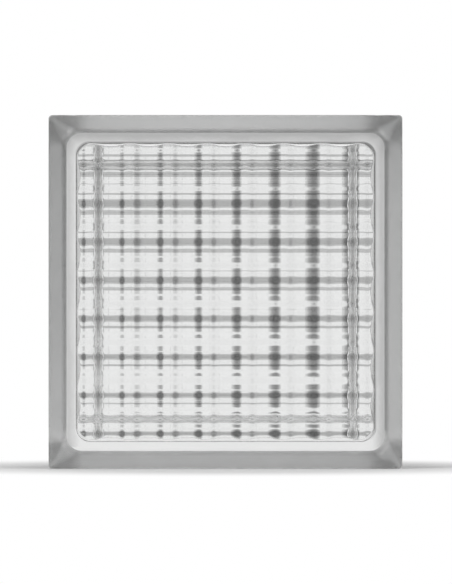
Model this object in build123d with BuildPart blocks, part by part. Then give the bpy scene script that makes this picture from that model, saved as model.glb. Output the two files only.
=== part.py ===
from build123d import *
import math
import os

os.makedirs("parts", exist_ok=True)

# Overall size, standing on its lower edge with the front face towards -Y
block_width = 190.0
block_height = 190.0
block_depth = 80.0

# Outer shape
corner_radius = 2.0  # the four corners, seen from the front
face_edge_radius = 1.2  # rim of each face
flange_depth = 8.0  # straight strip behind each face, all round
key_slope_depth = 14.0  # long slanted side of the mortar key
key_depth = 9.0  # how far the mortar key is set in from the flanges
key_bend_radius = 17.0  # where the slanted side turns into the key's floor
key_corner_radius = 8.0  # the four corners of the key's floor, seen from the front

# Glass squeezed out along the fused seam
outer_bead_width = 7.0
outer_bead_height = 2.5
inner_bead_width = 5.0
inner_bead_height = 1.2
bead_foot = 0.2  # straight foot below a bead's rounding

# Glass thickness and the sealed hollow
side_wall = 4.5  # from the mortar key to the hollow, at the seam
pane_thickness = 7.0  # at the bottom of a flute
wall_draft = 2.0  # degrees, the hollow is widest at the seam
hollow_edge_radius = 8.0  # where a side wall turns into a pane
hollow_corner_extra = 2.0  # the hollow's four corners are this much rounder than its edges

# Ridges and flutes pressed into the inner face of each pane
flute_pitch = 20.9
ridge_width = 7.6  # convex part between two flutes
ridge_height = 3.0  # from the bottom of a flute to the top of a ridge, doubled where two ridges cross
flute_overrun = 1.5  # the hollow's rounded edge starts this much deeper than the flutes
points_per_flute = 12  # how finely the crossed relief's surface is drawn
surface_tolerance = 0.01
place_tolerance = 0.01  # how near an edge lies to the place it is looked for at
relief_margin = 0.25  # in flute pitches, how far the crossed relief reaches past the last flute

# Places worked out from the sizes above
centre = Plane(origin=(0, 0, block_height / 2), x_dir=(1, 0, 0), z_dir=(0, -1, 0))
back_section = Plane(origin=(-block_width / 2, 0, block_height / 2), x_dir=(0, 0, -1), z_dir=(1, 0, 0))
key_half_width = block_depth / 2 - flange_depth - key_slope_depth
core_width = block_width - 2 * key_depth
core_height = block_height - 2 * key_depth
hollow_width = core_width - 2 * side_wall
hollow_height = core_height - 2 * side_wall
flute_bottom = block_depth / 2 - pane_thickness
hollow_half_depth = flute_bottom + flute_overrun
hollow_corner_radius = hollow_edge_radius + hollow_corner_extra
outer_bead_radius = outer_bead_height - bead_foot
inner_bead_radius = inner_bead_height - bead_foot
flute_half = (flute_pitch - ridge_width) / 2
ridge_half = ridge_width / 2
bend_slope = 2 * ridge_height / flute_pitch


# A closed section with flutes along its upper side, wide enough to cross a panel
def fluted_section(section_plane, panel_width):
    bend_level = flute_bottom - flute_half * bend_slope
    ridge_top = bend_level - ridge_half * bend_slope
    flutes_each_side = math.ceil(panel_width / 2 / flute_pitch)
    start = (-flutes_each_side * flute_pitch - flute_half, bend_level)
    end = (flutes_each_side * flute_pitch + flute_half + ridge_width, bend_level)
    with BuildSketch(section_plane) as section:
        with BuildLine():
            for number in range(-flutes_each_side, flutes_each_side + 1):
                middle = number * flute_pitch
                flute_from = (middle - flute_half, bend_level)
                flute_to = (middle + flute_half, bend_level)
                ridge_to = (middle + flute_half + ridge_width, bend_level)
                ThreePointArc(flute_from, (middle, flute_bottom), flute_to)
                ThreePointArc(flute_to, (middle + flute_pitch / 2, ridge_top), ridge_to)
            Polyline(end, (end[0], -block_depth / 2), (start[0], -block_depth / 2), start)
        make_face()
    return section.sketch


# How far the same line stands above the bottom of its flutes, at a place across the panel
def flute_rise(across):
    turn = math.sin(2 * math.atan(bend_slope))
    from_flute_middle = abs((across / flute_pitch + 0.5) % 1 - 0.5) * flute_pitch
    if from_flute_middle < flute_half:
        flute_radius = flute_half / turn
        return flute_radius - math.sqrt(flute_radius**2 - from_flute_middle**2)
    ridge_radius = ridge_half / turn
    from_ridge_middle = flute_pitch / 2 - from_flute_middle
    return ridge_height - ridge_radius + math.sqrt(ridge_radius**2 - from_ridge_middle**2)


# Evenly spaced places across a panel and a little past its edges
def places_across(panel_width):
    pitches_each_side = math.ceil(panel_width / 2 / flute_pitch) + relief_margin
    count = round(2 * pitches_each_side * points_per_flute)
    return [(2 * number / count - 1) * pitches_each_side * flute_pitch for number in range(count + 1)]


# A block behind a surface where upright and level ridges cross and their heights add up
def crossed_relief(panel_width, panel_height):
    rows = []
    for across in places_across(panel_width):
        row = []
        for up in places_across(panel_height):
            depth = flute_bottom - flute_rise(across) - flute_rise(up)
            row.append(Vector(across, -depth, block_height / 2 + up))
        rows.append(row)
    surface = Face.make_surface_from_array_of_points(rows, tol=surface_tolerance, min_deg=3, max_deg=3)
    return Solid.extrude(surface, Vector(0, block_depth, 0))


# The sealed hollow inside the block
with BuildPart() as hollow:
    with BuildSketch(centre):
        RectangleRounded(hollow_width, hollow_height, hollow_corner_radius)
    extrude(amount=hollow_half_depth, both=True, taper=wall_draft)
    front_rim = hollow.faces().sort_by(Axis.Y)[0].edges()
    back_rim = hollow.faces().sort_by(Axis.Y)[-1].edges()
    fillet(front_rim + back_rim, radius=hollow_edge_radius)
    # The front pane has crossed ridges, and the back pane has level ones only
    add(crossed_relief(hollow_width, hollow_height), mode=Mode.INTERSECT)
    extrude(fluted_section(back_section, hollow_height), amount=block_width, mode=Mode.INTERSECT)

# The bead of glass that the seam leaves round the inside of the hollow
with BuildPart() as inner_bead:
    with BuildSketch(centre):
        RectangleRounded(core_width, core_height, key_corner_radius)
        RectangleRounded(
            hollow_width - 2 * inner_bead_height,
            hollow_height - 2 * inner_bead_height,
            hollow_corner_radius - inner_bead_height,
            mode=Mode.SUBTRACT,
        )
    extrude(amount=inner_bead_width / 2, both=True)
    bead_faces = inner_bead.faces().sort_by(Axis.Y)
    bead_rims = bead_faces[0].inner_wires()[0].edges() + bead_faces[-1].inner_wires()[0].edges()
    fillet(bead_rims, radius=inner_bead_radius)

# The same seam's bead round the outside, proud of the mortar key's floor
with BuildPart() as outer_bead:
    with BuildSketch(centre):
        RectangleRounded(
            core_width + 2 * outer_bead_height,
            core_height + 2 * outer_bead_height,
            key_corner_radius + outer_bead_height,
        )
    extrude(amount=outer_bead_width / 2, both=True)
    fillet(outer_bead.faces().filter_by(Axis.Y).edges(), radius=outer_bead_radius)

# The block: two pressed halves fused into one piece of glass
with BuildPart() as glass_block:
    with BuildSketch(centre.offset(block_depth / 2 - flange_depth)):
        RectangleRounded(block_width, block_height, corner_radius)
    extrude(amount=flange_depth)
    with BuildSketch(centre.offset(block_depth / 2 - flange_depth)):
        RectangleRounded(block_width, block_height, corner_radius)
    with BuildSketch(centre.offset(key_half_width)):
        RectangleRounded(core_width, core_height, key_corner_radius)
    loft()
    with BuildSketch(centre):
        RectangleRounded(core_width, core_height, key_corner_radius)
    extrude(amount=key_half_width)
    mirror(about=centre)
    front_rim = glass_block.faces().sort_by(Axis.Y)[0].edges()
    back_rim = glass_block.faces().sort_by(Axis.Y)[-1].edges()
    fillet(front_rim + back_rim, radius=face_edge_radius)
    for bend in (-key_half_width, key_half_width):
        bend_edges = glass_block.edges().filter_by_position(Axis.Y, bend - place_tolerance, bend + place_tolerance)
        fillet(bend_edges, radius=key_bend_radius)
    add(outer_bead.part)
    add(hollow.part, mode=Mode.SUBTRACT)
    add(inner_bead.part)

glass_block.part.label = "glass_block"
export_step(glass_block.part, "parts/glass_block.step")
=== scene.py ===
import bpy
import bmesh
import math
from mathutils import Matrix, Vector


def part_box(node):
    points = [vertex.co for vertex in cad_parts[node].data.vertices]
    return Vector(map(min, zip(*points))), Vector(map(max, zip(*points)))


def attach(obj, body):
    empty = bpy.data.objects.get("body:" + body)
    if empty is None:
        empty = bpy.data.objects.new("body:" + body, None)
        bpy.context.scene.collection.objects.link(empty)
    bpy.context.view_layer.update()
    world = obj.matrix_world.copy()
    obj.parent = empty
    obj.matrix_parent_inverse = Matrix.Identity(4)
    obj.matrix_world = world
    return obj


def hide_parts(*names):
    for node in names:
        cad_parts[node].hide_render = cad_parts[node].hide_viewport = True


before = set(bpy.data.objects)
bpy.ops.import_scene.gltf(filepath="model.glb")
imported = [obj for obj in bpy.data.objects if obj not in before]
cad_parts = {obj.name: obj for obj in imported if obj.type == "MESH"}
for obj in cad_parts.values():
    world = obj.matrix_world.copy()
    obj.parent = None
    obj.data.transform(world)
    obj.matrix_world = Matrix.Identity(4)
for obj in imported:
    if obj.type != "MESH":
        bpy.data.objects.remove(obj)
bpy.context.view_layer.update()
mm = 0.001

blockLow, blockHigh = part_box("glass_block")
blockCentre = (blockLow + blockHigh) / 2
blockHalf = (blockHigh - blockLow) / 2
quarterTurn = math.radians(90)


class Wire:
    # a socket that sums can be written with
    def __init__(self, tree, socket):
        self.tree = tree
        self.socket = socket

    def maths(self, operation, other=None, swap=False):
        node = self.tree.nodes.new("ShaderNodeMath")
        node.operation = operation
        pair = (other, self) if swap else (self, other)
        for place, value in enumerate(pair):
            if isinstance(value, Wire):
                self.tree.links.new(value.socket, node.inputs[place])
            elif value is not None:
                node.inputs[place].default_value = value
        return Wire(self.tree, node.outputs[0])

    def __add__(self, other):
        return self.maths("ADD", other)

    def __sub__(self, other):
        return self.maths("SUBTRACT", other)

    def __rsub__(self, other):
        return self.maths("SUBTRACT", other, swap=True)

    def __mul__(self, other):
        return self.maths("MULTIPLY", other)

    def __truediv__(self, other):
        return self.maths("DIVIDE", other)

    __radd__ = __add__
    __rmul__ = __mul__


class Shader:
    # a node tree that nodes are added to by name
    def __init__(self, owner):
        owner.use_nodes = True
        self.tree = owner.node_tree
        self.tree.nodes.clear()

    def node(self, kind, settings=None, output=0, **inputs):
        # an input goes by its name, with _ for a space, or by its number, as i0
        made = self.tree.nodes.new(kind)
        for name, value in (settings or {}).items():
            if name == "stops":
                ramp = made.color_ramp
                while len(ramp.elements) < len(value):
                    ramp.elements.new(0.5)
                for element, (place, grey) in zip(ramp.elements, value):
                    element.position = place
                    element.color = (grey, grey, grey, 1)
            else:
                setattr(made, name, value)
        for name, value in inputs.items():
            numbered = name[0] == "i" and name[1:].isdigit()
            socket = made.inputs[int(name[1:]) if numbered else name.replace("_", " ")]
            if isinstance(value, Wire):
                self.tree.links.new(value.socket, socket)
            else:
                socket.default_value = value
        return Wire(self.tree, made.outputs[output]) if made.outputs else None

    def lightPath(self):
        path = self.tree.nodes.new("ShaderNodeLightPath")
        return {name: Wire(self.tree, path.outputs["Is " + name + " Ray"])
                for name in ("Camera", "Glossy", "Transmission")}

    def spot(self):
        # output 3 is Object, a point's place on the piece itself
        return self.node("ShaderNodeTexCoord", output=3)

    def places(self):
        # the same place as three numbers: x, y and z
        split = self.tree.nodes.new("ShaderNodeSeparateXYZ")
        self.tree.links.new(self.spot().socket, split.inputs[0])
        return [Wire(self.tree, output) for output in split.outputs]


def finishPiece(name, bm, materials, smooth=True):
    mesh = bpy.data.meshes.new(name)
    bm.to_mesh(mesh)
    bm.free()
    if smooth:
        mesh.polygons.foreach_set("use_smooth", [True] * len(mesh.polygons))
    for material in materials:
        mesh.materials.append(material)
    piece = bpy.data.objects.new(name, mesh)
    bpy.context.scene.collection.objects.link(piece)
    return piece


# The outside, in millimetres: two flanges, a mortar key and the bead of the seam
skin = {
    "cornerRadius": 2.0,
    "rimRadius": 1.2,
    "flangeDepth": 8.0,
    "slopeDepth": 14.0,
    "keyDepth": 9.0,
    "keyCornerRadius": 8.0,
    "keyRound": 5.0,  # how far the rounding reaches to each side of the key's bend
    "beadWidth": 7.0,
    "beadHeight": 2.5,
    "beadRadius": 2.3,
    "keySoftness": 0.7,  # glass has no truly sharp corner
    "roundSteps": 8,
}


def buildSkin(bm):
    # one rounded square outline, extruded ring by ring from the back face to the front face
    half = blockHalf.x
    deep = blockHalf.y
    key = skin["keyDepth"] * mm
    bead = key - skin["beadHeight"] * mm
    corner = skin["cornerRadius"] * mm
    keyCorner = skin["keyCornerRadius"] * mm
    beadCorner = keyCorner + skin["beadHeight"] * mm
    flangeEnd = deep - skin["flangeDepth"] * mm
    slopeEnd = flangeEnd - skin["slopeDepth"] * mm
    beadEnd = skin["beadWidth"] * mm / 2
    # how each kind of ring is rounded in the end
    roundings = {
        "rim": "rimRadius",
        "bead": "beadRadius",
        "flange": "keySoftness",
        "foot": "keySoftness",
        "bend": "keyRound",
    }
    kinds = list(roundings)
    # a ring's kind, its depth, how far it is set in and its corner radius
    rings = [
        ("flange", flangeEnd, 0.0, corner),
        ("bend", slopeEnd, key, keyCorner),
        ("foot", beadEnd, key, keyCorner),
        ("bead", beadEnd, bead, beadCorner),
        ("bead", -beadEnd, bead, beadCorner),
        ("foot", -beadEnd, key, keyCorner),
        ("bend", -slopeEnd, key, keyCorner),
        ("flange", -flangeEnd, 0.0, corner),
        ("rim", -deep, 0.0, corner),
    ]
    start = bmesh.ops.create_grid(bm, x_segments=1, y_segments=1, size=half)["verts"]
    bmesh.ops.rotate(bm, verts=start, cent=(0, 0, 0), matrix=Matrix.Rotation(quarterTurn, 3, "X"))
    bmesh.ops.translate(bm, verts=start, vec=(0, deep, 0))
    bmesh.ops.bevel(bm, geom=start, offset=corner, offset_type="OFFSET", affect="VERTICES",
                    segments=skin["roundSteps"], profile=0.5, material=-1)
    tag = bm.edges.layers.int.new("ring")
    edges = bm.edges[:]
    for edge in edges:
        edge[tag] = kinds.index("rim") + 1
    inset, radius = 0.0, corner
    for kind, depth, nextInset, nextRadius in rings:
        made = bmesh.ops.extrude_edge_only(bm, edges=edges)["geom"]
        edges = [part for part in made if isinstance(part, bmesh.types.BMEdge)]
        for edge in edges:
            edge[tag] = kinds.index(kind) + 1
        for vert in [part for part in made if isinstance(part, bmesh.types.BMVert)]:
            for axis in (0, 2):
                side = 1 if vert.co[axis] > 0 else -1
                lean = (vert.co[axis] - side * (half - inset - radius)) / radius
                vert.co[axis] = side * (half - nextInset - nextRadius) + lean * nextRadius
            vert.co.y = depth
        inset, radius = nextInset, nextRadius
    bmesh.ops.holes_fill(bm, edges=edges, sides=0)
    bmesh.ops.recalc_face_normals(bm, faces=bm.faces)
    for number, kind in enumerate(kinds, start=1):
        bmesh.ops.bevel(bm, geom=[edge for edge in bm.edges if edge[tag] == number],
                        offset=skin[roundings[kind]] * mm, offset_type="OFFSET", affect="EDGES",
                        segments=skin["roundSteps"], profile=0.5, material=-1)
    for face in bm.faces:
        if abs(face.calc_center_median().y) < flangeEnd:
            face.material_index = 1  # the mortar key's rougher glass


# The sealed hollow in millimetres, and the flutes pressed into the two panes
hollow = {
    "halfWidth": 81.5,
    "pane": 7.0,
    "overrun": 1.5,
    "edgeRadius": 8.0,
    "draft": 2.0,  # degrees
    "pitch": 20.9,
    "ridgeWidth": 7.6,
    "ridgeHeight": 3.0,
    "beadWidth": 5.0,
    "beadHeight": 1.2,
    "blend": 0.8,  # softness where a flute runs out into the rounded edge
    "stepsPerPitch": 20,
    "crowding": 0.3,  # how much closer the mesh lines stand on the ridges
    "depthSteps": 52,
    "depthCrowding": 0.55,  # closer lines at the seam and the rounded edges
}


def crowd(place, period, amount):
    # moves evenly spaced places closer together round the same spot of every period
    return place + amount * math.sin(2 * math.pi * place / period) * period / (2 * math.pi)


def fluteDepth(across):
    # how far the fluted surface stands proud of the flutes' bottom
    pitch = hollow["pitch"] * mm
    ridgeHalf = hollow["ridgeWidth"] * mm / 2
    fluteHalf = pitch / 2 - ridgeHalf
    lean = math.sin(2 * math.atan(2 * hollow["ridgeHeight"] * mm / pitch))
    fromMiddle = abs((across / pitch + 0.5) % 1.0 - 0.5) * pitch
    if fromMiddle < fluteHalf:
        radius = fluteHalf / lean
        return radius - math.sqrt(radius * radius - fromMiddle * fromMiddle)
    radius = ridgeHalf / lean
    fromTop = pitch / 2 - fromMiddle
    return hollow["ridgeHeight"] * mm - radius + math.sqrt(radius * radius - fromTop * fromTop)


def softMax(a, b, softness):
    # the larger of two, with a soft turn where they are nearly alike
    gap = max(softness - abs(a - b), 0.0) / softness
    return max(a, b) + gap * gap * softness / 4


def buildHollow(bm):
    # a cube cut into strips, rounded to a box with soft edges, then fluted on two sides
    pitch = hollow["pitch"] * mm
    halfWidth = hollow["halfWidth"] * mm
    bottom = blockHalf.y - hollow["pane"] * mm
    halfDepth = bottom + hollow["overrun"] * mm
    radius = hollow["edgeRadius"] * mm
    blend = hollow["blend"] * mm
    spacing = pitch / hollow["stepsPerPitch"]
    lines = 2 * math.ceil(halfWidth / spacing)
    lineSpan = lines / 2 * spacing
    reach = crowd(lineSpan, pitch, hollow["crowding"])
    slope = math.tan(math.radians(hollow["draft"]))
    beadHalf = hollow["beadWidth"] * mm / 2
    cubeSide = 2.0
    bmesh.ops.create_cube(bm, size=cubeSide)
    for axis, cuts in ((0, lines - 1), (2, lines - 1), (1, hollow["depthSteps"] - 1)):
        along = [edge for edge in bm.edges
                 if abs(edge.verts[0].co[axis] - edge.verts[1].co[axis]) > cubeSide / 2]
        bmesh.ops.subdivide_edges(bm, edges=along, cuts=cuts, use_grid_fill=True)
    limit = Vector((halfWidth - radius, halfDepth - radius, halfWidth - radius))
    for vert in bm.verts:
        atBack = vert.co.y > 0
        across, up = (crowd(vert.co[axis] * lineSpan, pitch, hollow["crowding"]) * halfWidth / reach
                      for axis in (0, 2))
        deep = crowd(vert.co.y, 1.0, -hollow["depthCrowding"]) * halfDepth
        point = Vector((across, deep, up))
        core = Vector([max(-limit[axis], min(limit[axis], point[axis])) for axis in range(3)])
        point = core + (point - core).normalized() * radius
        # crossed ridges on the front pane, level ones on the back pane
        if atBack:
            point.y = -softMax(-point.y, fluteDepth(point.z) - bottom, blend)
        else:
            point.y = softMax(point.y, fluteDepth(point.x) + fluteDepth(point.z) - bottom, blend)
        inward = slope * abs(point.y)
        if abs(point.y) < beadHalf:
            inward += hollow["beadHeight"] * mm * math.sqrt(1 - (point.y / beadHalf) ** 2)
        shrink = (halfWidth - inward) / halfWidth
        point.x *= shrink
        point.z *= shrink
        vert.co = point
    bmesh.ops.recalc_face_normals(bm, faces=bm.faces)
    bmesh.ops.reverse_faces(bm, faces=bm.faces)  # they face the air in the hollow


# Clear pressed glass, with noise scales in waves to the metre
glass = {
    "tint": (0.988, 0.99, 0.989, 1),
    "tintThick": (0.958, 0.962, 0.960, 1),  # where the melt is a little darker
    "refraction": 1.52,
    "soakColour": (0.5, 0.505, 0.502, 1),
    "soak": 2.0,  # per metre, makes the long way through the side walls grey
    "cloudScale": 9.0,
    "cloudDetail": 3.0,
    "wave": 0.10,  # the slow swell of the pressed faces
    "waveScale": 38.0,
    "waveDetail": 1.0,
    "press": 0.05,  # the mould's finer marks
    "pressScale": 260.0,
    "pressDetail": 2.0,
    "keyRoughness": 0.45,  # the key is left rough for the mortar
    "keyGrain": 0.35,
    "grainScale": 1400.0,
    "grainDetail": 3.0,
}


def glassMaterial(name, roughness, grain):
    material = bpy.data.materials.new(name)
    s = Shader(material)
    place = s.spot()
    cloud = s.node("ShaderNodeTexNoise", Vector=place, Scale=glass["cloudScale"], Detail=glass["cloudDetail"])
    # a colour mix has its factor at 0, its colours at 6 and 7 and its result at 2
    tint = s.node("ShaderNodeMix", {"data_type": "RGBA"}, output=2,
                  i0=cloud, i6=glass["tint"], i7=glass["tintThick"])
    wave = s.node("ShaderNodeTexNoise", Vector=place, Scale=glass["waveScale"], Detail=glass["waveDetail"])
    press = s.node("ShaderNodeTexNoise", Vector=place, Scale=glass["pressScale"], Detail=glass["pressDetail"])
    height = wave * glass["wave"] + press * (glass["press"] * glass["waveScale"] / glass["pressScale"])
    if grain:
        sand = s.node("ShaderNodeTexNoise", Vector=place, Scale=glass["grainScale"],
                      Detail=glass["grainDetail"])
        height = height + sand * (grain * glass["waveScale"] / glass["grainScale"])
    bump = s.node("ShaderNodeBump", Height=height, Strength=1.0, Distance=mm)
    body = s.node("ShaderNodeBsdfPrincipled", Base_Color=tint, Roughness=roughness, IOR=glass["refraction"],
                  Transmission_Weight=1.0, Normal=bump)
    soak = s.node("ShaderNodeVolumeAbsorption", Color=glass["soakColour"], Density=glass["soak"])
    s.node("ShaderNodeOutputMaterial", Surface=body, Volume=soak)
    return material


def buildBlock():
    block = bmesh.new()
    buildSkin(block)
    print("outside made,", len(block.faces), "faces")
    inside = bmesh.new()
    buildHollow(inside)
    print("hollow made,", len(inside.faces), "faces")
    shell = bpy.data.meshes.new("hollowShell")
    inside.to_mesh(shell)
    inside.free()
    block.from_mesh(shell)
    bpy.data.meshes.remove(shell)
    bmesh.ops.translate(block, verts=block.verts, vec=blockCentre)
    finishes = [glassMaterial("clearPressedGlass", 0.0, 0.0),
                glassMaterial("roughKeyGlass", glass["keyRoughness"], glass["keyGrain"])]
    piece = finishPiece("glassBlock", block, finishes)
    piece.modifiers.new("evenShading", "WEIGHTED_NORMAL")
    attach(piece, "root")
    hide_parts("glass_block")


# The view straight at the front face
view = {
    "distance": 4.0,  # metres
    "clipEnd": 100,  # metres
    "imageSize": (452, 584),  # pixels
    "blockWide": 354.0,  # pixels
    "blockMiddle": (225.5, 292.0),  # pixels from the upper left corner
}


def makeCamera():
    camera = bpy.data.cameras.new("camera")
    rig = bpy.data.objects.new("camera", camera)
    bpy.context.scene.collection.objects.link(rig)
    wide, tall = view["imageSize"]
    span = 2 * blockHalf.x / view["blockWide"] * tall
    camera.lens = camera.sensor_width * view["distance"] / span
    camera.shift_x = (wide / 2 - view["blockMiddle"][0]) / tall
    camera.shift_y = (view["blockMiddle"][1] - tall / 2) / tall
    camera.clip_end = view["clipEnd"]
    rig.location = (blockCentre.x, blockLow.y - view["distance"], blockCentre.z)
    rig.rotation_euler = (quarterTurn, 0, 0)
    bpy.context.scene.camera = rig


# Four backdrops round the block, in metres, seen only through the glass and in reflections.
# The ones behind it and in front of it are bright in the middle, darker to the sides and above.
backdrop = {
    "distance": 0.5,
    "halfWidth": 0.54,
    "height": 1.1,
    # how far to the right of the block's middle, and how bright it is there
    "across": ((-0.45, 0.35), (-0.30, 0.45), (-0.22, 0.66), (-0.17, 0.86), (-0.12, 0.88), (0.085, 0.88),
               (0.11, 0.62), (0.15, 0.34), (0.21, 0.22), (0.30, 0.16), (0.54, 0.14)),
    # how far above the floor, and how much of that brightness is left there
    "up": ((0.0, 1.0), (0.175, 1.0), (0.195, 0.76), (0.24, 0.52), (0.28, 0.72), (0.36, 0.46), (0.45, 0.56),
           (0.62, 0.38), (0.78, 0.48), (1.0, 0.34)),
    "crossingShade": 1.3,  # how much darker it is where both are dark
    "sideLevel": 1.0,  # the two at the block's sides are plain
    "ringHalf": 0.0957,  # a faint painted grey frame line at the top and sides of the bright place, just behind the block's outer edge: painted shade on the block's border as seen through the glass
    "ringWidth": 0.007,
    "ringShadeDepth": 0.3,
    "mirrored": 0.75,  # how bright they are in reflections
}


def levelAt(s, place, levels):
    # the brightness at a place, read off a list such as the ones above
    first, last = levels[0][0], levels[-1][0]
    stops = [((metres - first) / (last - first), level) for metres, level in levels]
    return s.node("ShaderNodeValToRGB", {"stops": stops}, Fac=(place - first) / (last - first))


def backdropMaterial(name, axis, side):
    # axis is the way the backdrop runs, and side is -1 where its right is towards -X
    material = bpy.data.materials.new(name)
    s = Shader(material)
    place = s.places()
    if axis == 0:
        sideways = levelAt(s, place[0] * side, backdrop["across"])
        upwards = levelAt(s, place[2], backdrop["up"])
        crossing = (1.0 - sideways) * (1.0 - upwards) * backdrop["crossingShade"]
        level = sideways * upwards * (1.0 - crossing)
    else:
        level = backdrop["sideLevel"]
    # painted shade: a grey frame line just behind the block's outer edge darkens the border seen through the
    # glass
    fromMiddle = place[axis].maths("ABSOLUTE").maths("MAXIMUM", place[2] - blockCentre.z)
    fromLine = ((fromMiddle - backdrop["ringHalf"]) / backdrop["ringWidth"]).maths("ABSOLUTE")
    ring = (1.0 - fromLine).maths("MAXIMUM", 0.0) * backdrop["ringShadeDepth"]
    seen = s.lightPath()
    glow = s.node("ShaderNodeEmission", Strength=(1.0 - ring) * level)
    dull = s.node("ShaderNodeEmission", Strength=backdrop["mirrored"])
    clear = s.node("ShaderNodeBsdfTransparent")
    mirrored = s.node("ShaderNodeMixShader", i0=seen["Transmission"], i1=dull, i2=glow)
    both = s.node("ShaderNodeMixShader", i0=seen["Camera"], i1=mirrored, i2=clear)
    s.node("ShaderNodeOutputMaterial", Surface=both)
    return material


def makeBackdrops():
    middle = Vector((blockCentre.x, blockCentre.y, backdrop["height"] / 2))
    walls = (("Back", 0, 0, 1), ("Front", 180, 0, -1), ("Left", 90, 1, 1), ("Right", -90, 1, -1))
    for wallName, turn, axis, side in walls:
        name = "backdrop" + wallName
        turned = Matrix.Rotation(math.radians(turn), 3, "Z")
        bm = bmesh.new()
        made = bmesh.ops.create_grid(bm, x_segments=1, y_segments=1, size=1.0)["verts"]
        bmesh.ops.scale(bm, verts=made, vec=(backdrop["halfWidth"], backdrop["height"] / 2, 1))
        bmesh.ops.rotate(bm, verts=made, cent=(0, 0, 0), matrix=Matrix.Rotation(quarterTurn, 3, "X"))
        bmesh.ops.translate(bm, verts=made, vec=(0, blockHalf.y + backdrop["distance"], 0))
        bmesh.ops.rotate(bm, verts=made, cent=(0, 0, 0), matrix=turned)
        bmesh.ops.translate(bm, verts=made, vec=middle)
        wall = finishPiece(name, bm, [backdropMaterial(name, axis, side)], smooth=False)
        wall.visible_diffuse = False
        wall.visible_shadow = False


# A pale floor, lit round the block and plain white further out
floorLook = {
    "halfSize": 6.0,
    "colour": (0.8, 0.8, 0.8, 1),
    "plainFrom": 0.10,  # metres from the block's middle, where the lit floor begins to fade to plain white
    "plainTo": 0.22,
}


def makeFloor():
    bm = bmesh.new()
    bmesh.ops.create_grid(bm, x_segments=1, y_segments=1, size=floorLook["halfSize"])
    material = bpy.data.materials.new("paleFloor")
    s = Shader(material)
    x, y = s.places()[:2]
    away = (x * x + y * y).maths("SQRT")
    fade = s.node("ShaderNodeMapRange", {"interpolation_type": "SMOOTHSTEP"}, Value=away,
                  i1=floorLook["plainFrom"], i2=floorLook["plainTo"])
    seen = s.lightPath()
    throughGlass = seen["Transmission"]
    direct = (seen["Camera"] + seen["Glossy"]).maths("MINIMUM", 1.0)
    plainness = (fade * direct).maths("MAXIMUM", throughGlass)
    lit = s.node("ShaderNodeBsdfDiffuse", Color=floorLook["colour"])
    # through the glass it is as bright as the backdrops are across
    level = levelAt(s, x, backdrop["across"])
    plain = s.node("ShaderNodeEmission", Strength=1.0 - throughGlass * (1.0 - level))
    both = s.node("ShaderNodeMixShader", i0=plainness, i1=lit, i2=plain)
    s.node("ShaderNodeOutputMaterial", Surface=both)
    finishPiece("floor", bm, [material], smooth=False)


# Soft even room light, with the white background that glass shows too
room = {
    "level": 0.62,
}


def makeRoom():
    world = bpy.data.worlds.new("room")
    bpy.context.scene.world = world
    s = Shader(world)
    seen = s.lightPath()
    direct = (seen["Camera"] + seen["Glossy"] + seen["Transmission"]).maths("MINIMUM", 1.0)
    level = room["level"]
    soft = s.node("ShaderNodeBackground", Color=(level, level, level, 1), Strength=1.0)
    white = s.node("ShaderNodeBackground", Color=(1, 1, 1, 1), Strength=1.0)
    both = s.node("ShaderNodeMixShader", i0=direct, i1=soft, i2=white)
    s.node("ShaderNodeOutputWorld", Surface=both)


# Two soft lamps, in metres and watts
lamps = {
    "lampLeft": {"place": (-1.2, -1.2, 1.4), "size": 1.2, "power": 14},
    "lampRight": {"place": (1.4, -0.8, 1.2), "size": 1.0, "power": 8},
}


def makeLamps():
    for name, want in lamps.items():
        lamp = bpy.data.lights.new(name, "AREA")
        lamp.size = want["size"]
        lamp.energy = want["power"]
        rig = bpy.data.objects.new(name, lamp)
        rig.location = want["place"]
        rig.rotation_euler = (blockCentre - Vector(want["place"])).to_track_quat("-Z", "Y").to_euler()
        bpy.context.scene.collection.objects.link(rig)


buildBlock()
print("block finished")
makeCamera()
makeFloor()
makeRoom()
makeBackdrops()
makeLamps()
bpy.context.scene.view_settings.view_transform = "Standard"
print("camera, floor, backdrops and lamps placed")
